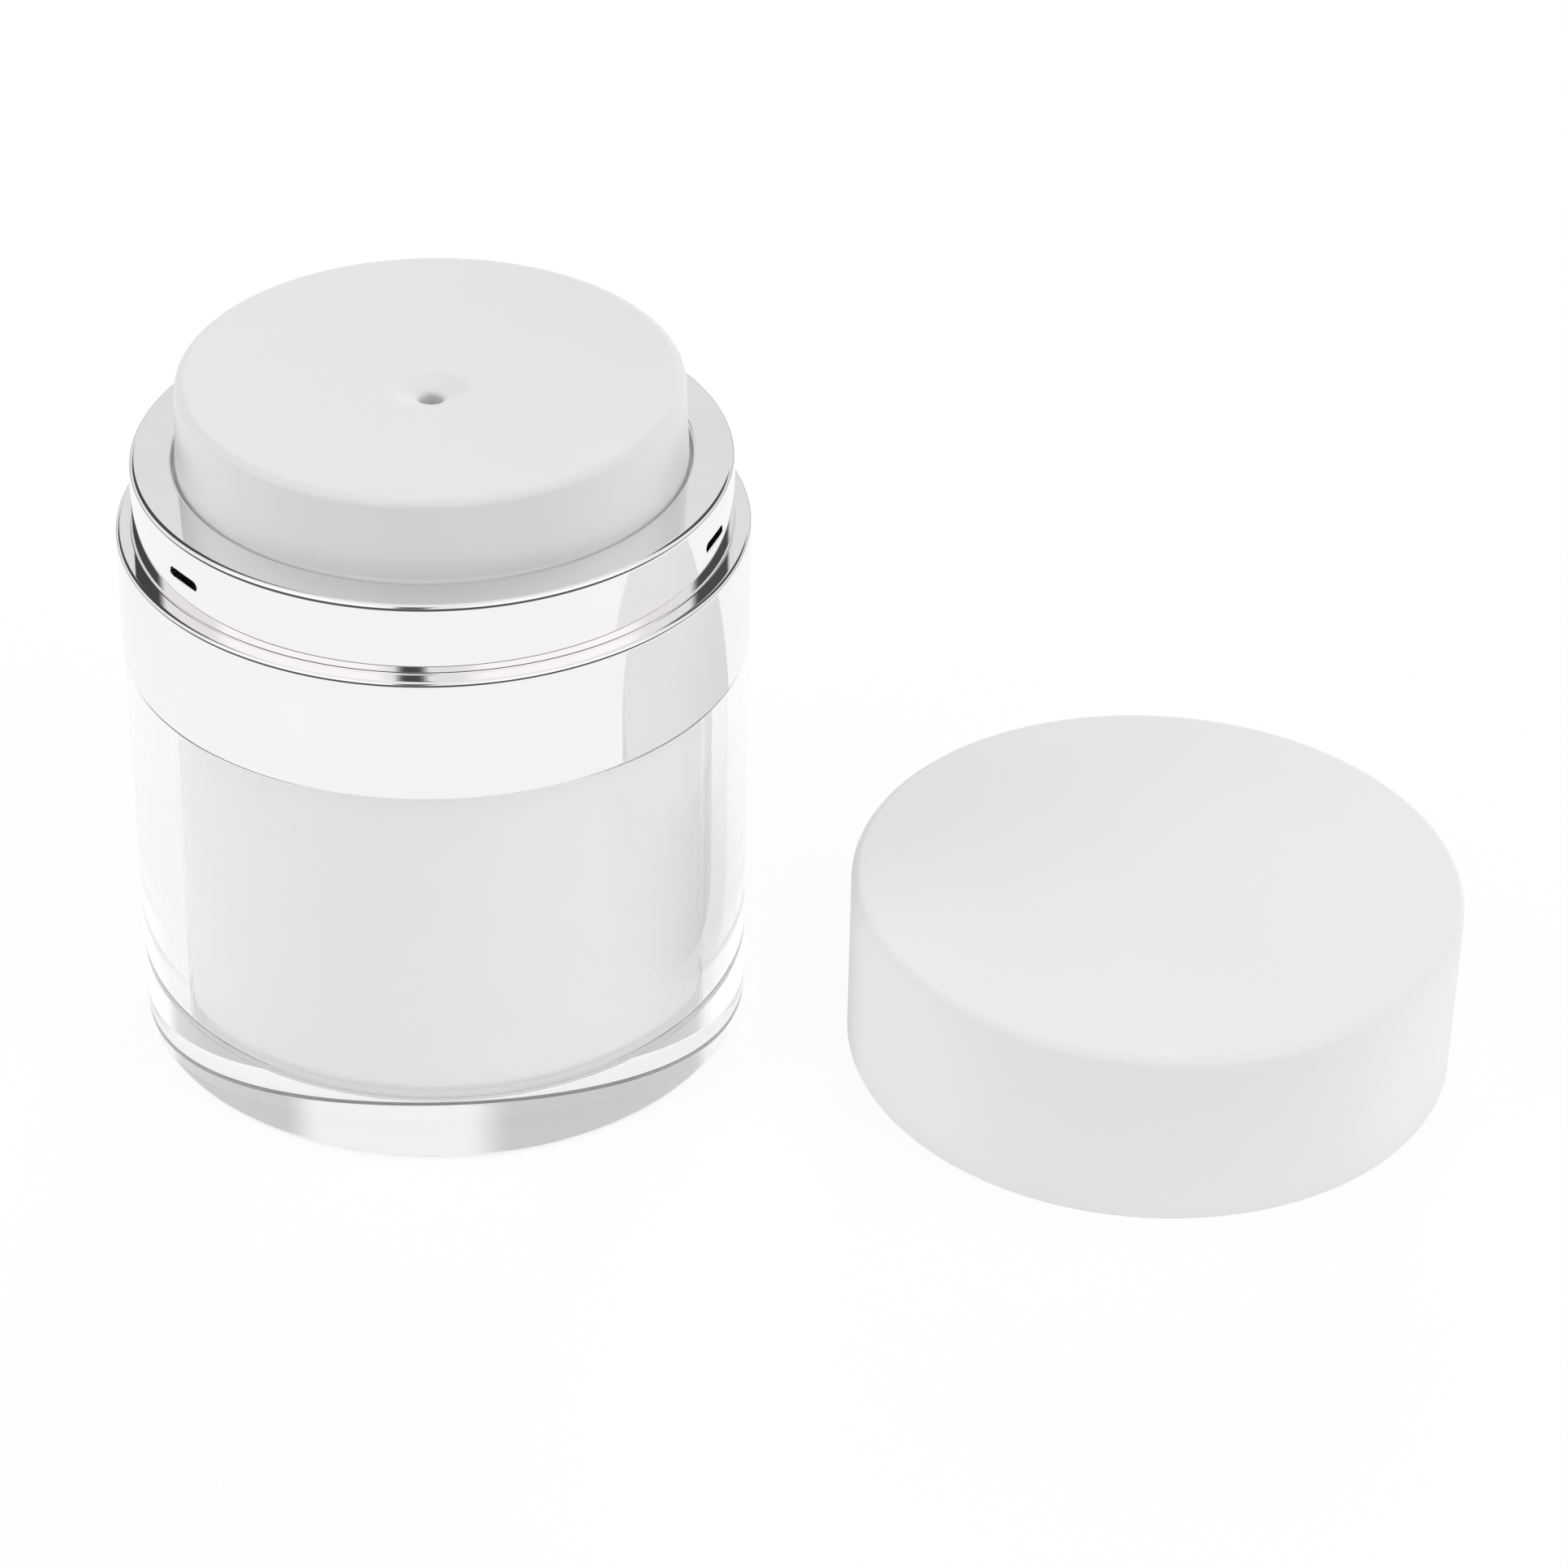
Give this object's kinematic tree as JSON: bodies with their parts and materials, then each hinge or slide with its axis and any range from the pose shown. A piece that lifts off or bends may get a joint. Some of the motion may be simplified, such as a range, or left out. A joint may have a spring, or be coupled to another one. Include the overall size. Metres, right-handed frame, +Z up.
{
  "type": "airless pump jar",
  "caption": "Push-top airless cream jar: clear thick-walled jar with a white cup inside, silver collar, white hollowed pump plate with a centre outlet, and a plain white lid set down beside it.",
  "frame": {"origin": "centre of the jar's base on its axis, at the level of the surface it stands on", "axes": "+Z up along the jar's axis, +X from the jar's axis to the centre of the lid that stands beside it"},
  "size_m": [0.1345, 0.062, 0.0715],
  "materials": {
    "clear_acrylic": "clear polished acrylic",
    "white_cup": "smooth moulded white",
    "seal_white": "soft natural polyethylene",
    "mirror_silver": "mirror silver metallizing on moulded plastic",
    "white_closure": "moulded white polypropylene",
    "gasket_rubber": "soft pale grey",
    "white_plate": "satin white polypropylene",
    "spring_steel": "drawn stainless wire",
    "white_lid": "fine matte white",
    "liner_white": "moulded white polypropylene"
  },
  "bodies": {
    "jar": {"outer_jar": "clear_acrylic", "inner_cup": "white_cup"},
    "follower": {"follower_piston": "seal_white"},
    "head": {"collar": "mirror_silver", "pump_deck": "white_closure", "deck_gasket": "gasket_rubber", "pump_cylinder": "white_closure", "cylinder_gasket": "gasket_rubber", "cylinder_cap": "white_closure", "return_spring": "spring_steel"},
    "plunger": {"push_plate": "white_plate", "stem": "white_closure", "stem_tip": "white_closure"},
    "piston": {"piston_seal": "seal_white"},
    "inlet": {"inlet_valve": "seal_white"},
    "lid_set": {"lid": "white_lid", "lid_liner": "liner_white"}
  },
  "joints": [
    {"name": "head_lift", "type": "slide", "parent": "jar", "child": "head", "axis": [0, 0, 1], "range_m": [0, 0.045]},
    {"name": "pump_press", "type": "slide", "parent": "head", "child": "plunger", "axis": [0, 0, 1], "range_m": [-0.006, 0], "stiffness_N_per_m": 288, "springref_m": 0.001, "deforming": ["return_spring"]},
    {"name": "piston_slip", "type": "slide", "parent": "plunger", "child": "piston", "axis": [0, 0, 1], "range_m": [0, 0.0008]},
    {"name": "inlet_lift", "type": "slide", "parent": "head", "child": "inlet", "axis": [0, 0, 1], "range_m": [0, 0.0008]},
    {"name": "follower_rise", "type": "slide", "parent": "jar", "child": "follower", "axis": [0, 0, 1], "range_m": [0, 0.0239]},
    {"name": "lid_lift", "type": "slide", "parent": "jar", "child": "lid_set", "axis": [0, 0, 1], "range_m": [0, 0.09]}
  ]
}
